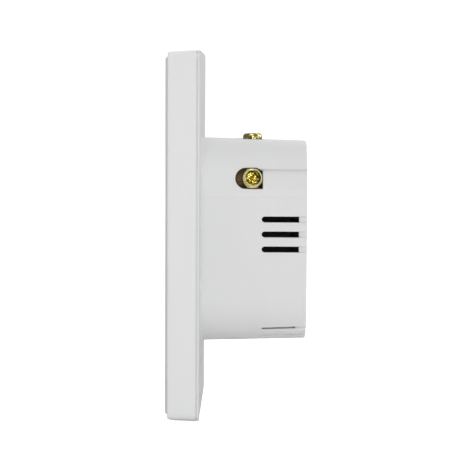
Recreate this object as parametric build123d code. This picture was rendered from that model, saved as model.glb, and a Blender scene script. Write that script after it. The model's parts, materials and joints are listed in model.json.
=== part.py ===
from build123d import *
import os
from math import radians, sin, sqrt, tan

# Millimetres. The wall surface is the plane y = 0, the front of the switch faces -Y,
# the box goes into the wall along +Y, and +Z is up. The origin is the middle of the
# two mounting screws, which is also the middle of the box.

# Front plate
plate_width = 74.0
plate_height = 120.0
plate_centre_z = 2.9
plate_corner_radius = 2.8
least_corner_radius = 0.8

# Rear housing: flange behind the plate, box into the wall
flange_thickness = 2.4
rim_thickness = 0.55
reveal_width = 0.45
reveal_depth = 0.35
box_width = 46.0
box_height = 68.4
box_depth = 35.2
box_top_radius = 19.0
box_bottom_radius = 16.0
box_draft = 1.5
box_wall = 2.0
rear_wall = 2.0
root_fillet = 0.8
rear_fillet = 0.7
rear_rib_height = 3.8
rear_rib_thickness = 1.2
rear_rib_length = 44.0
crease_step = 0.15

# Bezel around the key
bezel_front = 10.25
bezel_wall = 1.75
bezel_draft = 3.0
bezel_edge_round = 0.8
fit_gap = 0.25
snap_length = 8.0
snap_height = 0.55
snap_reach = 0.5
snap_gap = 0.1
snap_root = 0.1
snap_spacing_x = 40.0
snap_spacing_z = 36.0
pry_notch_width = 10.0
pry_notch_height = 0.8

# Front key
key_front = 11.05
key_thickness = 1.8
key_gap = 0.3
key_edge_bevel = 0.7
key_travel = 0.35
key_rib_height = 0.9
key_rib_thickness = 0.8
key_rib_inset = 23.0
key_skirt_height = 2.4
key_skirt_thickness = 1.1
plunger_gap = 0.1
boss_radius = 2.4

# Guide pins and hooks that hold the key to the carrier
guide_pin_radius = 1.5
guide_clearance = 0.08
guide_sleeve_wall = 1.3
guide_sleeve_height = 3.4
guide_pin_end = 4.2
guide_inset = 7.0
hook_inset_x = 12.0
hook_inset_z = 6.5
hook_width = 4.0
hook_thickness = 1.2
hook_barb = 0.8
hook_barb_height = 0.55
hook_gap = 0.3
hook_lift = 0.1

# Mounting strap and its screw holes
strap_thickness = 1.0
strap_width = 44.0
strap_height = 96.0
strap_corner_radius = 4.0
strap_window_width = 36.0
strap_window_height = 40.0
strap_window_radius = 3.0
mounting_spacing = 83.3
mounting_hole_radius = 2.2
mounting_head_clearance = 9.5

# Carrier plate
carrier_thickness = 1.2
carrier_rib_width = 1.2
carrier_rib_height = 1.6
pad_height = 0.3
pad_radius = 2.0
pad_inset = 4.0
clip_thickness = 1.0
clip_width = 5.0
clip_overlap = 0.6
clip_barb_height = 0.8
clip_gap = 0.1
clip_spacing_z = 50.0
bumper_post_radius = 3.0
bumper_thickness = 1.4
bumper_radius = 2.6
bumper_stop_gap = 0.05
bumper_inset_x = 8.0
bumper_inset_z = 17.0

# Long screws that clamp carrier, strap, power board and housing
upper_post_x = 8.0
upper_post_z = 27.0
lower_post_x = 12.5
lower_post_z = -24.5
post_radius = 3.2
post_strap_gap = 0.2
screw_radius = 1.45
screw_length = 18.0
screw_head_radius = 2.75
screw_head_height = 1.9
screw_head_depth = 0.6
screw_clearance = 0.05
screw_head_gap = 0.25
screw_recess_radius = 1.3
screw_recess_depth = 1.0

# Button board behind the key
button_board_width = 56.0
button_board_height = 68.0
button_board_thickness = 1.2
board_corner_radius = 2.0
tact_size = 6.0
tact_corner_radius = 0.6
tact_height = 2.1
tact_inset = 10.0
plunger_radius = 1.6
plunger_clearance = 0.1
plunger_proud = 0.65
plunger_length = 1.6
tact_floor = 0.5
led_width = 2.0
led_height = 1.25
led_thickness = 0.7
led_corner_radius = 0.2
led_z = -30.5
pipe_radius = 1.2
pipe_collar_radius = 1.9
pipe_collar = 0.6
pipe_length = 3.4
module_width = 16.0
module_height = 24.0
module_board = 0.8
module_corner_radius = 0.5
module_x = -14.0
module_z = 4.0
can_width = 13.0
can_height = 15.0
can_thickness = 1.6
can_sheet = 0.3
can_corner_radius = 0.6
antenna_margin = 1.2

# Plug-in connector between the two boards
pin_pitch = 2.54
pin_columns = 4
pin_rows = 2
pin_side = 0.64
pin_hole_side = 0.9
pin_tail = 1.0
header_z = 13.0
header_base = 2.5
header_window_gap = 1.0
socket_gap = 0.3
socket_pin_depth = 4.2

# Power board inside the box
power_board_depth = 7.0
power_board_thickness = 1.6
power_board_gap = 0.4

# Wiring terminals: one on each side wall and one on the top wall
terminal_y = 17.05
terminal_z = 21.3
opening_front_y = 11.4
opening_height = 6.9
opening_rear_gap = 0.2
strip_width = 6.4
strip_thickness = 1.6
strip_tab_width = 3.0
strip_tab_proud = 0.8
slot_gap = 0.2
clamp_thickness = 1.0
clamp_width = 4.0
clamp_corner_radius = 0.6
clamp_gap = 0.1
wire_gap = 1.7
terminal_head_radius = 3.25
terminal_head_height = 2.4
terminal_head_rim = 1.15
terminal_head_proud = 1.95
terminal_shank_radius = 1.75
terminal_shank_length = 8.0
terminal_thread_clearance = 0.05
terminal_tip_bevel = 0.5
terminal_ring_radius = 2.45
terminal_step_depth = 0.5
terminal_step_slope = 0.2
terminal_crown = 0.15
terminal_slot_angle = 28.0
terminal_slot_width = 1.05
terminal_slot_length = 4.2
terminal_slot_depth = 0.9
pocket_rib = 1.2
pocket_reach = 1.0
channel_depth = 0.9
channel_low_z = 18.1
channel_high_z = 24.5
channel_slope = 0.7
channel_screw_gap = 0.5

# Vents
vent_front_y = 20.2
vent_rear_y = 32.5
vent_height = 2.0
vent_pitch = 4.95
vent_count = 3
groove_depth = 0.5
corner_slot_width = 1.5
corner_slot_inset = 5.25
corner_slot_count = 11
corner_slot_reach = 9.0
corner_slot_wall = 0.6
corner_relief_margin = 1.0

# Relay
relay_z = -13.0
relay_width = 19.0
relay_height = 15.5
relay_depth = 15.4
relay_wall = 0.7
relay_gap = 0.1
relay_base_thickness = 1.8
relay_pin_radius = 0.5
relay_pin_inset_x = 2.5
relay_pin_inset_z = 2.0
relay_corner_radius = 0.8
yoke_thickness = 1.2
yoke_width = 10.0
yoke_x = -7.6
yoke_height = 8.1
coil_x = -1.8
core_radius = 1.5
pole_radius = 2.6
pole_thickness = 0.5
bobbin_flange = 0.8
bobbin_flange_width = 8.2
bobbin_flange_height = 9.4
bobbin_corner_radius = 0.6
winding_radius = 3.6
armature_thickness = 1.0
armature_width = 9.0
armature_length = 10.4
armature_gap = 0.15
armature_opening = 3.5
spring_thickness = 0.3
spring_width = 4.0
contact_x = 6.0
contact_radius = 1.2
contact_height = 0.55
contact_gap = 0.12
contact_strip = 0.6
contact_post_width = 1.8
spring_overhang = 0.2

# Parts of the mains supply on the power board
transformer_side_gap = 6.3
transformer_z = 4.0
transformer_core_width = 13.0
transformer_core_height = 12.4
transformer_core_thickness = 6.0
transformer_leg = 2.1
transformer_centre_leg = 3.4
transformer_base = 0.6
transformer_base_height = 12.0
transformer_base_radius = 0.8
bobbin_depth = 11.0
bobbin_gap = 0.15
winding_corner_radius = 1.4
bobbin_foot_inset = 1.0
capacitor_radius = 5.0
capacitor_height = 21.0
capacitor_groove = 0.3
capacitor_side_gap = 1.2
capacitor_relay_gap = 0.5
capacitor_gap = 0.3
film_width = 12.5
film_height = 5.0
film_depth = 10.5
film_x = -3.0
film_z = 20.5
fuse_width = 4.0
fuse_height = 8.5
fuse_depth = 8.0
fuse_side_gap = 4.0
fuse_z = -14.5
varistor_radius = 4.8
varistor_thickness = 3.6
varistor_side_gap = 4.0
varistor_z = -14.0
varistor_lift = 1.2
lead_radius = 0.4
part_edge = 0.4

# Depths that follow from the sizes above
core_inset = bezel_wall + fit_gap
bezel_back_y = -(rim_thickness + reveal_width)
flange_front_y = -flange_thickness
carrier_back_y = flange_front_y - strap_thickness
carrier_front_y = carrier_back_y - carrier_thickness
button_board_back_y = carrier_front_y - pad_height
button_board_front_y = button_board_back_y - button_board_thickness
plunger_tip_y = button_board_front_y - tact_height - plunger_proud
key_front_y = -key_front
key_back_y = key_front_y + key_thickness
power_front_y = power_board_depth
power_back_y = power_front_y + power_board_thickness
screw_seat_y = carrier_front_y + screw_head_depth
screw_end_y = screw_seat_y + screw_length
rear_inside_y = box_depth - rear_wall
draft_slope = tan(radians(box_draft))
opening_rear_y = terminal_y + terminal_head_radius + opening_rear_gap
board_side_x = box_width / 2 - box_wall - power_back_y * draft_slope
capacitor_x = board_side_x - capacitor_height * draft_slope - capacitor_side_gap - capacitor_radius
capacitor_low_z = relay_z + relay_height / 2 + capacitor_relay_gap
varistor_x = board_side_x - varistor_side_gap - varistor_thickness / 2
transformer_x = transformer_side_gap + transformer_core_width / 2 - board_side_x
fuse_x = fuse_side_gap + fuse_width / 2 - board_side_x
relay_floor_y = power_back_y + relay_base_thickness
yoke_top_y = relay_floor_y + yoke_height
relay_hinge_x = yoke_x + yoke_thickness / 2
armature_under_y = yoke_top_y + armature_gap
transformer_foot_y = power_back_y + transformer_base
transformer_top_y = transformer_foot_y + transformer_core_height
window_width = (transformer_core_width - transformer_centre_leg) / 2 - transformer_leg
header_width = pin_columns * pin_pitch
header_height = pin_rows * pin_pitch
header_front_y = power_front_y - header_base
socket_back_y = header_front_y - socket_gap
tact_reach = button_board_height / 2 - tact_inset
tact_places = [plate_centre_z + sign * tact_reach for sign in (-1, 1)]
post_places = [
    (-upper_post_x, upper_post_z),
    (upper_post_x, upper_post_z),
    (-lower_post_x, lower_post_z),
    (lower_post_x, lower_post_z),
]


def facing_front(y):
    """Plane at depth y whose sketch axes are X and Z and whose normal faces the front."""
    return Plane(origin=(0, y, 0), x_dir=(1, 0, 0), z_dir=(0, -1, 0))


def slab(outline, front, back):
    """Prism of an X-Z outline between two depths."""
    return extrude(facing_front(back) * outline, back - front)


def block(width, height, front, back, x=0.0, z=0.0):
    """Rectangular block between two depths."""
    return slab(Pos(x, z) * Rectangle(width, height), front, back)


def rod(radius, front, back, x=0.0, z=0.0):
    """Round rod along Y between two depths."""
    return slab(Pos(x, z) * Circle(radius), front, back)


def soft_block(width, height, radius, front, back, x=0.0, z=0.0):
    """Block between two depths whose four long edges are round."""
    return slab(Pos(x, z) * RectangleRounded(width, height, radius), front, back)


def corners(width, height, inset_x, inset_z, middle_z=0.0):
    """Four places that stand in from the corners of a rectangle round (0, middle_z)."""
    half_x = width / 2 - inset_x
    half_z = height / 2 - inset_z
    return [(sx * half_x, middle_z + sz * half_z) for sx in (-1, 1) for sz in (-1, 1)]


def joined(pieces):
    """One shape from a list of pieces."""
    whole = pieces[0]
    for piece in pieces[1:]:
        whole += piece
    return whole


def plate_outline(inset):
    """Outline of the front plate, drawn in by an inset."""
    radius = max(plate_corner_radius - inset, least_corner_radius)
    width = plate_width - 2 * inset
    height = plate_height - 2 * inset
    return Pos(0, plate_centre_z) * RectangleRounded(width, height, radius)


def box_outline(inset, step=0.0):
    """Cross-section of the box: flat sides, an arched top and a rounder bottom.

    Above the crease the sides stand back by a small step.
    """
    side = box_width / 2 - inset
    half = box_height / 2 - inset
    low_radius = box_bottom_radius - inset
    top_radius = box_top_radius - inset - step
    upper_side = side - step
    low_z = -half + low_radius
    high_z = half - top_radius
    diagonal = sqrt(0.5)
    right = [
        ((side, low_z), (side, high_z - 2 * step)),
        ((side, high_z - 2 * step), (upper_side, high_z)),
    ]
    if step == 0:
        right = [((side, low_z), (side, high_z))]
    lines = []
    for start, end in right:
        lines.append(Line(start, end))
        lines.append(Line((-start[0], start[1]), (-end[0], end[1])))
    arch = top_radius * diagonal
    foot = low_radius * diagonal
    for sign in (-1, 1):
        arch_x = upper_side - top_radius
        lines.append(
            ThreePointArc(
                (sign * upper_side, high_z),
                (sign * (arch_x + arch), high_z + arch),
                (sign * arch_x, half),
            )
        )
        foot_x = side - low_radius
        lines.append(
            ThreePointArc(
                (sign * side, low_z),
                (sign * (foot_x + foot), low_z - foot),
                (sign * foot_x, -half),
            )
        )
    lines.append(Line((-(upper_side - top_radius), half), (upper_side - top_radius, half)))
    lines.append(Line((-(side - low_radius), -half), (side - low_radius, -half)))
    return make_face(lines)


def drafted_box(inset, depth, step=0.0):
    """Box from the wall plane to a depth, narrowing by the draft angle."""
    root = facing_front(0) * box_outline(inset, step)
    end = facing_front(depth) * box_outline(inset + depth * draft_slope, step)
    return loft([root, end], ruled=True)


def side_wall_x(y, z):
    """X of the outer side wall at a place above the crease."""
    shift = crease_step + y * draft_slope
    centre_x = box_width / 2 - box_top_radius
    centre_z = box_height / 2 - box_top_radius + crease_step
    radius = box_top_radius - shift
    return centre_x + sqrt(radius**2 - (z - centre_z) ** 2)


# The three terminals are drawn once in a frame of their own: X points out of the wall
# from the wall surface at the screw, Y is the depth, and Z runs across the opening.
terminal_places = {
    "near": Pos(side_wall_x(terminal_y, terminal_z), 0, terminal_z),
    "far": Pos(-side_wall_x(terminal_y, terminal_z), 0, terminal_z) * Rot(0, 180, 0),
    "top": Pos(0, 0, box_height / 2 - terminal_y * draft_slope) * Rot(0, -90, 0),
}
head_top_x = terminal_head_proud
head_under_x = head_top_x - terminal_head_height
clamp_out_x = head_under_x - clamp_gap
clamp_in_x = clamp_out_x - clamp_thickness
strip_out_x = clamp_in_x - wire_gap
strip_in_x = strip_out_x - strip_thickness


def local_block(x_in, x_out, y_front, y_rear, width):
    """Block in a terminal's own frame, centred across the opening."""
    size = Box(x_out - x_in, y_rear - y_front, width)
    return Pos((x_in + x_out) / 2, (y_front + y_rear) / 2, 0) * size


def local_rod(radius, x_in, x_out, y=terminal_y):
    """Rod along the outward axis of a terminal's own frame."""
    return Pos((x_in + x_out) / 2, y, 0) * Rot(0, 90, 0) * Cylinder(radius, x_out - x_in)


def terminal_opening():
    """Cut for one terminal: round at the front, square at the rear."""
    reach_in = strip_in_x
    reach_out = terminal_head_proud + terminal_head_height
    centre_y = opening_front_y + opening_height / 2
    square = local_block(reach_in, reach_out, centre_y, opening_rear_y, opening_height)
    return square + local_rod(opening_height / 2, reach_in, reach_out, centre_y)


def side_opening():
    """Cut for a side terminal; the channel's sloped edge runs on over its upper rear corner."""
    place = terminal_places["near"]
    slope_z = channel_high_z - channel_slope
    middle = slope_z + opening_height / 2
    corner = block(box_width, opening_height, terminal_y, opening_rear_y + 1, box_width / 2, middle)
    round_screw = terminal_head_radius + channel_screw_gap
    corner -= place * local_rod(round_screw, strip_in_x - 1, terminal_head_proud + terminal_head_height)
    return place * terminal_opening() - corner


def terminal_pocket():
    """Ribs that hold the two edges and the end of one brass strip inside the box."""
    inner = strip_in_x - pocket_reach
    rib_y = power_back_y + fit_gap
    rear = opening_rear_y + pocket_rib
    outside = opening_height + 2 * pocket_rib
    ribs = local_block(inner, 0, rib_y, rear, outside)
    return ribs - local_block(inner, 1, rib_y, opening_rear_y, opening_height)


def strip_relief():
    """Room in the wall for a brass strip on its way from the board to the opening."""
    inner = strip_in_x - slot_gap
    outer = strip_out_x + slot_gap
    width = strip_width + 2 * slot_gap
    return local_block(inner, outer, power_back_y - 1, opening_rear_y, width)


def wire_channel():
    """Shallow recess that leads a wire from the rear edge to a side opening."""
    wall_low = side_wall_x(0, channel_low_z)
    wall_high = side_wall_x(0, channel_high_z)
    outside = box_width / 2 + 1
    section = make_face(
        Polyline(
            (wall_low, channel_low_z),
            (wall_high - channel_depth, channel_high_z - channel_slope),
            (wall_high, channel_high_z),
            (outside, channel_high_z),
            (outside, channel_low_z),
            close=True,
        )
    )
    rear_section = Pos(-box_depth * draft_slope, 0) * section
    start = facing_front(0) * section
    end = facing_front(box_depth) * rear_section
    whole = loft([start, end], ruled=True)
    return whole & block(box_width + 4, box_height, terminal_y, box_depth + 1)


def wall_slot(front, rear, height):
    """Slot outline seen from the side: round at the front, open and square at the rear."""
    radius = height / 2
    outline = Pos((front + radius + rear) / 2, 0) * Rectangle(rear - front - radius, height)
    return outline + Pos(front + radius, 0) * Circle(radius)


def side_vents():
    """Vents through both side walls with grooves on to the rear edge."""
    cuts = []
    across = Plane(origin=(0, 0, 0), x_dir=(0, 1, 0), z_dir=(1, 0, 0))
    deep = box_width / 2 - box_wall - box_depth * draft_slope - 1
    for index in range(vent_count):
        z = plate_centre_z + (index - (vent_count - 1) / 2) * vent_pitch
        opening = across.offset(deep) * Pos(0, z) * wall_slot(vent_front_y, vent_rear_y, vent_height)
        through = extrude(opening, box_width / 2 + 1 - deep)
        groove_length = box_depth + 1 - vent_rear_y + part_edge
        groove = Box(box_width, groove_length, vent_height)
        rear_x = box_width / 2 - vent_rear_y * draft_slope - groove_depth + box_width / 2
        groove = Pos(rear_x, box_depth + 1 - groove_length / 2, z) * groove
        cuts += [through, groove]
    near = joined(cuts)
    return near + mirror(near, about=Plane.YZ)


def corner_relief():
    """Room inside the curved bottom wall that leaves it thin where the slots are."""
    front = vent_front_y - corner_relief_margin
    rear = vent_rear_y - corner_relief_margin
    height = corner_slot_reach + corner_relief_margin
    middle_z = (height - box_height) / 2
    return drafted_box(corner_slot_wall, rear) & block(box_width, height, front, rear, 0, middle_z)


def corner_slots():
    """Slots through the curved bottom wall with grooves on to the rear edge."""
    cuts = []
    low = -box_height / 2 - 1
    upward = Plane(origin=(0, 0, low), x_dir=(0, 1, 0), z_dir=(0, 0, 1))
    first_x = box_width / 2 - corner_slot_inset
    for index in range(corner_slot_count):
        x = first_x - index * 2 * first_x / (corner_slot_count - 1)
        outline = wall_slot(vent_front_y, vent_rear_y, corner_slot_width)
        opening = extrude(upward * Pos(0, -x) * outline, corner_slot_reach + 1)
        groove = Box(corner_slot_width, box_depth + 1 - vent_rear_y + part_edge, box_height)
        y = (vent_rear_y - part_edge + box_depth + 1) / 2
        inset = vent_rear_y * draft_slope
        half = box_height / 2 - inset
        radius = box_bottom_radius - inset
        off_centre = max(abs(x) - (box_width / 2 - inset - radius), 0)
        surface = -half + radius - sqrt(radius**2 - off_centre**2)
        slope = off_centre / sqrt(radius**2 - off_centre**2)
        depth = groove_depth * sqrt(1 + slope**2)
        groove = Pos(x, y, surface + depth - box_height / 2) * groove
        cuts += [opening, groove]
    return joined(cuts)


def hook_places():
    """Places of the four key hooks, with the side that each barb points to."""
    places = corners(plate_width, plate_height, hook_inset_x, hook_inset_z, plate_centre_z)
    return [(x, z, 1 if z > plate_centre_z else -1) for x, z in places]


def guide_places():
    """Places of the two guide pins of the key."""
    reach = plate_height / 2 - guide_inset
    return [(0, plate_centre_z + sign * reach) for sign in (-1, 1)]


def bumper_places():
    """Places of the four rubber stops under the key."""
    return corners(plate_width, plate_height, bumper_inset_x, bumper_inset_z, plate_centre_z)


def snap_places():
    """Places of the bezel's snap ridges: x, z, and the length along X and Z."""
    half_w = plate_width / 2
    half_h = plate_height / 2
    places = []
    for sign in (-1, 1):
        for along in (-1, 1):
            places.append((along * snap_spacing_x / 2, plate_centre_z + sign * half_h, 0, sign))
            places.append((sign * half_w, plate_centre_z + along * snap_spacing_z, sign, 0))
    return places


def snap_shape(grow):
    """Ridges inside the bezel's back edge, or the notches that take them when grown."""
    shapes = []
    back = bezel_back_y - snap_gap + grow
    front = back - snap_height - 2 * grow
    reach = snap_reach + fit_gap + grow
    length = snap_length + 2 * grow
    across = reach + snap_root
    for x, z, side_x, side_z in snap_places():
        inward = bezel_wall - snap_root + across / 2
        width = length if side_z else across
        height = length if side_x else across
        centre_x = x - side_x * inward
        centre_z = z - side_z * inward
        shapes.append(block(width, height, front, back, centre_x, centre_z))
    return joined(shapes)


def rear_housing():
    """Moulded flange and drafted box with openings, channels, vents, bosses and pockets."""
    flange = slab(plate_outline(0), -rim_thickness, 0)
    flange += slab(plate_outline(reveal_depth), bezel_back_y, 0)
    flange += slab(plate_outline(core_inset), flange_front_y, 0)
    box = drafted_box(0, box_depth, crease_step)
    rear_edges = box.faces().sort_by(Axis.Y)[-1].edges()
    box = fillet(rear_edges, rear_fillet)
    outside = flange + box
    mouth_edges = [
        edge
        for edge in outside.edges().filter_by_position(Axis.Y, -0.01, 0.01)
        if abs(edge.center().X) < plate_width / 2 - 4
        and abs(edge.center().Z) < box_height / 2 + 1
    ]
    outside = fillet(mouth_edges, root_fillet)
    hollow = drafted_box(box_wall, rear_inside_y)
    hollow += slab(box_outline(box_wall), flange_front_y, 0)
    hollow += corner_relief()
    housing = outside - hollow
    rib_y = rear_inside_y - rear_rib_height
    inside = [block(rear_rib_thickness, rear_rib_length, rib_y, rear_inside_y + 1)]
    inside += [rod(post_radius, power_back_y, rear_inside_y + 1, x, z) for x, z in post_places]
    inside += [place * terminal_pocket() for place in terminal_places.values()]
    housing += joined(inside) & box
    housing -= terminal_places["top"] * terminal_opening()
    opening = side_opening()
    housing -= opening
    housing -= mirror(opening, about=Plane.YZ)
    for place in terminal_places.values():
        housing -= place * strip_relief()
    channel = wire_channel()
    housing -= channel
    housing -= mirror(channel, about=Plane.YZ)
    housing -= side_vents()
    housing -= corner_slots()
    for x, z in post_places:
        housing -= rod(screw_radius + screw_clearance, 0, screw_end_y + 1, x, z)
    for sign in (-1, 1):
        mount_z = sign * mounting_spacing / 2
        housing -= rod(mounting_hole_radius, flange_front_y - 1, 1, 0, mount_z)
    barb_end = carrier_back_y + hook_lift + hook_barb_height + key_travel
    for x, z, side in hook_places():
        pocket_y = barb_end + hook_gap
        size = hook_thickness + hook_barb + 2 * hook_gap
        middle = z + side * hook_barb / 2
        housing -= block(hook_width + 2 * hook_gap, size, flange_front_y - 1, pocket_y, x, middle)
    return housing - snap_shape(snap_gap)


def bezel():
    """Drafted frame whose back edge seats on the flange."""
    depth = bezel_front + bezel_back_y
    inset = depth * tan(radians(bezel_draft))
    back = facing_front(bezel_back_y) * plate_outline(0)
    front = facing_front(-bezel_front) * plate_outline(inset)
    frame = loft([back, front], ruled=True)
    front_edges = frame.faces().sort_by(Axis.Y)[0].edges()
    frame = fillet(front_edges, bezel_edge_round)
    frame -= slab(plate_outline(bezel_wall), -bezel_front - 1, 0)
    frame += snap_shape(0) & slab(plate_outline(bezel_wall / 2), -bezel_front, 0)
    bottom_z = plate_centre_z - plate_height / 2
    notch_y = bezel_back_y - pry_notch_height
    return frame - block(pry_notch_width, 2 * bezel_wall, notch_y, 0, 0, bottom_z)


def front_key():
    """Full-face push key with skirt, ribs, plunger bosses, guide pins and hooks."""
    inset = bezel_wall + key_gap
    plate = slab(plate_outline(inset), key_front_y, key_back_y)
    front_edges = plate.faces().sort_by(Axis.Y)[0].edges()
    key = chamfer(front_edges, key_edge_bevel)
    skirt_y = key_back_y + key_skirt_height
    skirt = slab(plate_outline(inset), key_back_y, skirt_y)
    skirt -= slab(plate_outline(inset + key_skirt_thickness), key_back_y - 1, skirt_y + 1)
    key += skirt
    rib_length_x = plate_width - 2 * inset
    for sign in (-1, 1):
        rib_y = key_back_y + key_rib_height
        rib_z = plate_centre_z + sign * (plate_height / 2 - key_rib_inset)
        key += block(rib_length_x, key_rib_thickness, key_back_y, rib_y, 0, rib_z)
    for z in tact_places:
        key += rod(boss_radius, key_back_y, plunger_tip_y - plunger_gap, 0, z)
    for x, z in guide_places():
        key += rod(guide_pin_radius, key_back_y, -guide_pin_end, x, z)
    barb_front = carrier_back_y + hook_lift
    barb_back = barb_front + hook_barb_height
    for x, z, side in hook_places():
        key += block(hook_width, hook_thickness, key_back_y, barb_back, x, z)
        reach = hook_thickness / 2 + hook_barb
        key += block(hook_width, reach, barb_front, barb_back, x, z + side * reach / 2)
    return key - rod(pipe_radius + screw_clearance, key_front_y - 1, 0, 0, led_z)


def light_pipe():
    """Clear rod that carries the status light through the key."""
    pipe = rod(pipe_radius, key_front_y, key_front_y + pipe_length, 0, led_z)
    return pipe + rod(pipe_collar_radius, key_back_y, key_back_y + pipe_collar, 0, led_z)


def bumper_pads():
    """Rubber stops on the carrier posts, under the corners of the key."""
    stop_y = key_back_y + key_travel + bumper_stop_gap
    pads = []
    for x, z in bumper_places():
        pads.append(rod(bumper_radius, stop_y, stop_y + bumper_thickness, x, z))
    return pads


def carrier_plate():
    """Plate that holds the board and the key, with screw posts back to the power board."""
    carrier = slab(plate_outline(core_inset), carrier_front_y, carrier_back_y)
    edge = slab(plate_outline(core_inset), carrier_front_y - carrier_rib_height, flange_front_y)
    inner = plate_outline(core_inset + carrier_rib_width)
    edge -= slab(inner, carrier_front_y - carrier_rib_height - 1, flange_front_y + 1)
    carrier += edge
    for x, z in post_places:
        carrier += rod(post_radius, carrier_front_y, power_front_y, x, z)
    stop_y = key_back_y + key_travel + bumper_stop_gap + bumper_thickness
    for x, z in bumper_places():
        carrier += rod(bumper_post_radius, stop_y, carrier_back_y, x, z)
    for x, z in corners(button_board_width, button_board_height, pad_inset, pad_inset):
        carrier += rod(pad_radius, button_board_back_y, carrier_back_y, x, z)
    for x, z in guide_places():
        sleeve = guide_pin_radius + guide_clearance + guide_sleeve_wall
        carrier += rod(sleeve, carrier_front_y - guide_sleeve_height, carrier_back_y, x, z)
        carrier -= rod(guide_pin_radius + guide_clearance, key_back_y, flange_front_y, x, z)
    barb_back = button_board_front_y - clip_gap
    barb_front = barb_back - clip_barb_height
    for sign_x in (-1, 1):
        leg_x = sign_x * (button_board_width / 2 + clip_gap + clip_thickness / 2)
        reach = clip_thickness + clip_gap + clip_overlap
        barb_x = sign_x * (button_board_width / 2 - clip_overlap + reach / 2)
        for sign_z in (-1, 1):
            z = sign_z * clip_spacing_z / 2
            carrier += block(clip_thickness, clip_width, barb_front, carrier_back_y, leg_x, z)
            carrier += block(reach, clip_width, barb_front, barb_back, barb_x, z)
    for x, z in post_places:
        bore = screw_head_radius + screw_head_gap
        carrier -= rod(bore, carrier_front_y - 1, screw_seat_y, x, z)
        carrier -= rod(screw_radius + screw_clearance, carrier_front_y, power_front_y + 1, x, z)
    for sign in (-1, 1):
        access_z = sign * mounting_spacing / 2
        access = mounting_head_clearance / 2
        carrier -= rod(access, carrier_front_y - 1, carrier_back_y + 1, 0, access_z)
    for x, z, side in hook_places():
        size = hook_thickness + 2 * hook_gap
        carrier -= block(hook_width + 2 * hook_gap, size, key_back_y, flange_front_y, x, z)
    window_w = header_width + 2 * header_window_gap
    window_h = header_height + 2 * header_window_gap
    return carrier - block(window_w, window_h, carrier_front_y - 1, 0, 0, header_z)


def mounting_strap():
    """Steel strap with the two mounting holes and a window for the connector."""
    outline = RectangleRounded(strap_width, strap_height, strap_corner_radius)
    outline -= RectangleRounded(strap_window_width, strap_window_height, strap_window_radius)
    for x, z in post_places:
        outline -= Pos(x, z) * Circle(post_radius + post_strap_gap)
    for sign in (-1, 1):
        outline -= Pos(0, sign * mounting_spacing / 2) * Circle(mounting_hole_radius)
    return slab(outline, carrier_back_y, flange_front_y)


def assembly_screws():
    """Four long screws from the carrier into the housing bosses."""
    screws = []
    seat = screw_seat_y
    end = screw_end_y
    for x, z in post_places:
        head = rod(screw_head_radius, seat - screw_head_height, seat, x, z)
        rim = head.faces().sort_by(Axis.Y)[0].edges()
        screw = chamfer(rim, screw_head_height / 3) + rod(screw_radius, seat, end, x, z)
        for angle in (0, 90):
            bar = Rectangle(2 * screw_recess_radius, screw_recess_radius / 2)
            recess = Pos(x, z) * Rot(0, 0, angle) * bar
            top = seat - screw_head_height
            screw -= slab(recess, top - 1, top + screw_recess_depth)
        screws.append(screw)
    return screws


def button_board():
    """Board behind the key."""
    outline = RectangleRounded(button_board_width, button_board_height, board_corner_radius)
    for x, z in post_places:
        outline -= Pos(x, z) * Circle(screw_head_radius + screw_head_gap)
    return slab(outline, button_board_front_y, button_board_back_y)


def tact_switch_bodies():
    """Two tactile switches, open at the front for their plungers."""
    bodies = []
    front = button_board_front_y - tact_height
    for z in tact_places:
        body = block(tact_size, tact_size, front, button_board_front_y, 0, z)
        body = fillet(body.edges().filter_by(Axis.Y), tact_corner_radius)
        floor = button_board_front_y - tact_floor
        body -= rod(plunger_radius + plunger_clearance, front - 1, floor, 0, z)
        bodies.append(body)
    return bodies


def tact_plungers():
    """Plungers of the two tactile switches."""
    back = plunger_tip_y + plunger_length
    plungers = []
    for z in tact_places:
        plunger = rod(plunger_radius, plunger_tip_y, back, 0, z)
        tip = plunger.faces().sort_by(Axis.Y)[0].edges()
        plungers.append(chamfer(tip, plunger_clearance * 2))
    return plungers


def status_led():
    """Status light on the button board, behind the light pipe."""
    front = button_board_front_y - led_thickness
    led = block(led_width, led_height, front, button_board_front_y, 0, led_z)
    return fillet(led.edges().filter_by(Axis.Y), led_corner_radius)


def radio_module():
    """Radio board on the button board."""
    front = button_board_front_y - module_board
    board = block(module_width, module_height, front, button_board_front_y, module_x, module_z)
    return fillet(board.edges().filter_by(Axis.Y), module_corner_radius)


def can_place_z():
    """Height of the middle of the shield can, which leaves the antenna end free."""
    return module_z - module_height / 2 + antenna_margin + can_height / 2


def radio_shield():
    """Metal can over the radio chip."""
    back = button_board_front_y - module_board
    front = back - can_thickness
    can = block(can_width, can_height, front, back, module_x, can_place_z())
    can = fillet(can.edges().filter_by(Axis.Y), can_corner_radius)
    hollow_w = can_width - 2 * can_sheet
    hollow_h = can_height - 2 * can_sheet
    return can - block(hollow_w, hollow_h, front + can_sheet, back, module_x, can_place_z())


def pin_places():
    """Places of the connector pins."""
    places = []
    for column in range(pin_columns):
        for row in range(pin_rows):
            x = (column - (pin_columns - 1) / 2) * pin_pitch
            z = header_z + (row - (pin_rows - 1) / 2) * pin_pitch
            places.append((x, z))
    return places


def board_header():
    """Pin strip on the front of the power board."""
    header = block(header_width, header_height, header_front_y, power_front_y, 0, header_z)
    for x, z in pin_places():
        tip = socket_back_y - socket_pin_depth
        header += block(pin_side, pin_side, tip, power_back_y + pin_tail, x, z)
    return header


def board_socket():
    """Socket on the back of the button board that takes the pins."""
    socket = block(header_width, header_height, button_board_back_y, socket_back_y, 0, header_z)
    for x, z in pin_places():
        end = socket_back_y - socket_pin_depth - socket_gap
        socket -= block(pin_hole_side, pin_hole_side, end, socket_back_y + 1, x, z)
    return socket


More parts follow.
